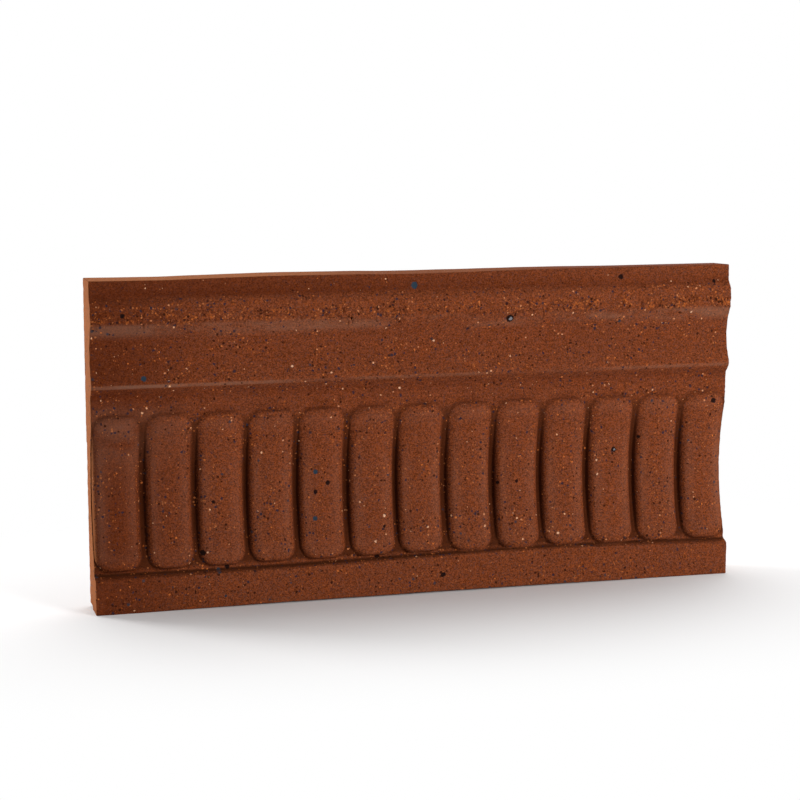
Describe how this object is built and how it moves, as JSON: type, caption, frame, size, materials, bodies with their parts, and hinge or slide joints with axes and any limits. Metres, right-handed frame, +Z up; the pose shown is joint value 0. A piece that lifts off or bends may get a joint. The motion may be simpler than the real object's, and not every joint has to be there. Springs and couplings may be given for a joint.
{
  "type": "wall brick",
  "caption": "Moulded clay facing brick with a flat base band, a cove holding a row of raised rounded lobes, a thin arris, an upper cove and a stepped top edge.",
  "frame": {"origin": "middle of the brick's bed, halfway between its back and the front of its base band", "axes": "+X along the brick's length, +Y from its moulded face to its flat back, +Z up from the bed it stands on"},
  "size_m": [0.305, 0.022, 0.15],
  "materials": {
    "fired_clay": "matte"
  },
  "bodies": {
    "root": {"wall_brick": "fired_clay"}
  },
  "joints": []
}
